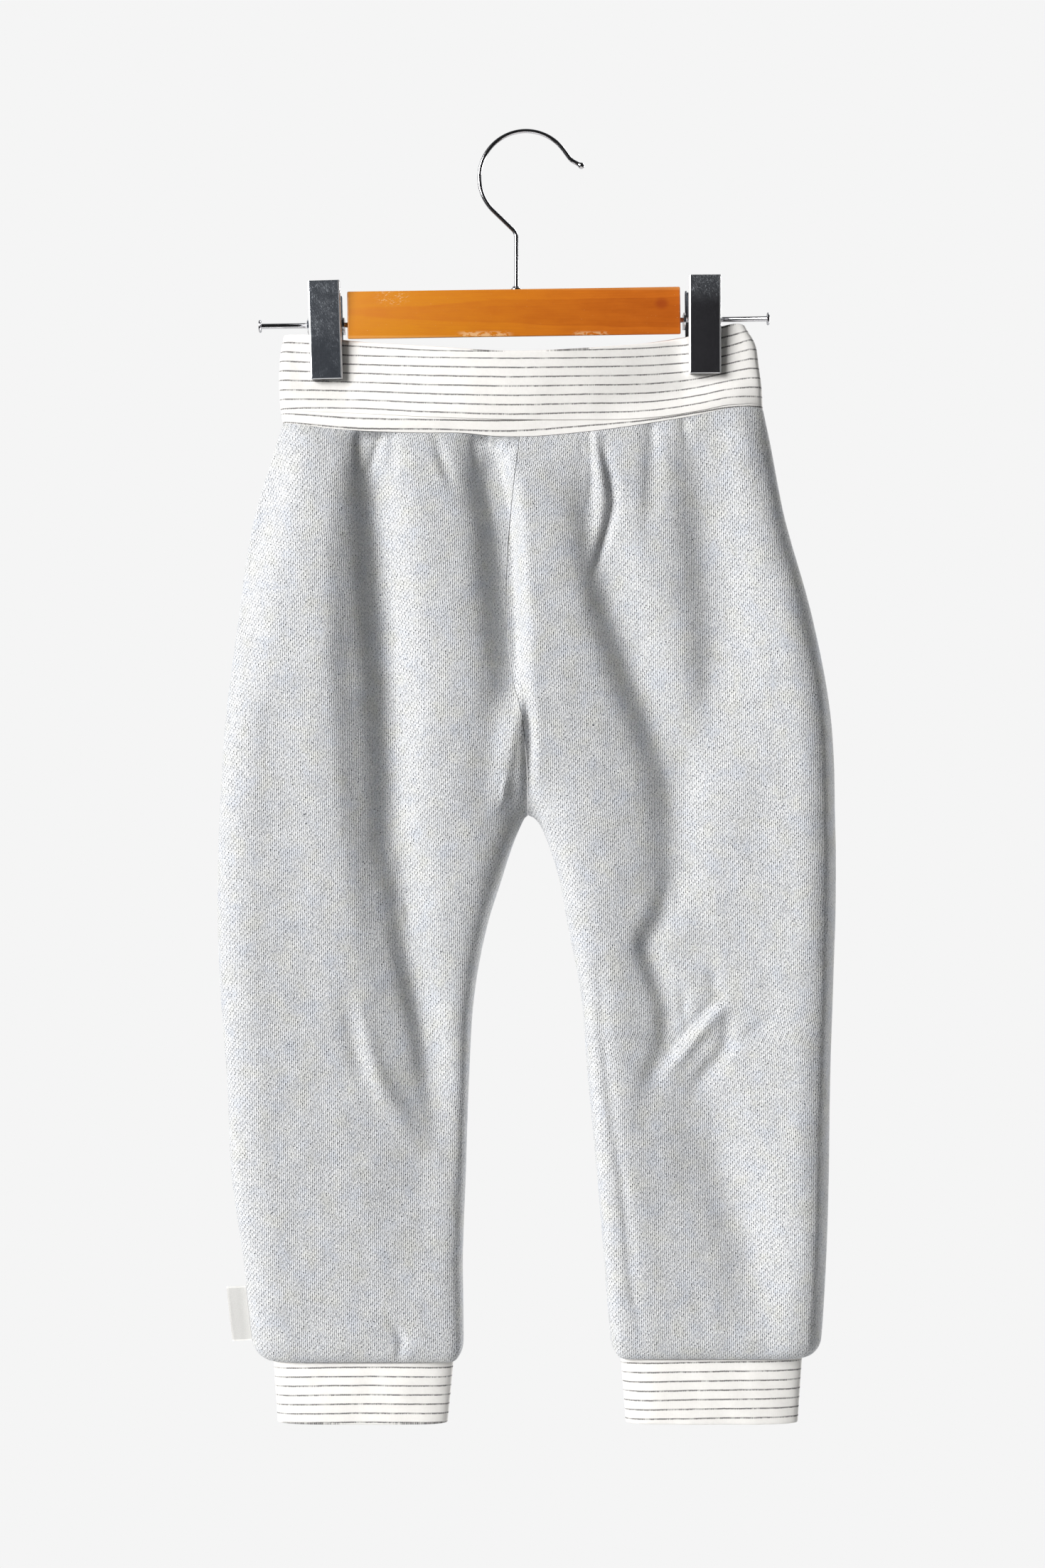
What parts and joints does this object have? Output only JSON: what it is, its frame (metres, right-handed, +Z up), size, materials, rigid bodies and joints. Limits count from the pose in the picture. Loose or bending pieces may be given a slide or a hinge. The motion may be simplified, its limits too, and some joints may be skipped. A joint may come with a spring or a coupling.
{
  "type": "sweatpants on a clip hanger",
  "caption": "Child's grey melange sweatpants with a striped rib waistband and cuffs, hanging flat from a wooden clip hanger by its hook.",
  "frame": {"origin": "the hook's inner top, where the hanger hangs on a rail", "axes": "+X to the viewer's right across the garment, -Y out of the garment's front, +Z up"},
  "size_m": [0.3625, 0.0478, 0.7595],
  "materials": {
    "sweat_cloth": "soft brushed jersey, light grey melange",
    "rib_jersey": "off-white rib jersey with thin dark dashed stripes",
    "label_tape": "bare woven tape",
    "varnished_wood": "amber varnish, worn at the lower edge",
    "chrome": "polished",
    "dark_chrome": "dark mirror finish with fine scratches"
  },
  "bodies": {
    "root": {"front_left_hip": "sweat_cloth", "front_left_thigh": "sweat_cloth", "front_left_calf": "sweat_cloth", "front_right_hip": "sweat_cloth", "front_right_thigh": "sweat_cloth", "front_right_calf": "sweat_cloth", "back_left_hip": "sweat_cloth", "back_left_thigh": "sweat_cloth", "back_left_calf": "sweat_cloth", "back_right_hip": "sweat_cloth", "back_right_thigh": "sweat_cloth", "back_right_calf": "sweat_cloth", "waistband": "rib_jersey", "cuff_left": "rib_jersey", "cuff_right": "rib_jersey", "side_label": "label_tape", "hanger_hook": "chrome", "hook_collar": "chrome", "hanger_bar": "varnished_wood", "hanger_rod": "chrome", "clip_left_front": "dark_chrome", "clip_left_back": "dark_chrome", "clip_left_spring": "chrome", "clip_right_front": "dark_chrome", "clip_right_back": "dark_chrome", "clip_right_spring": "chrome"}
  },
  "joints": []
}
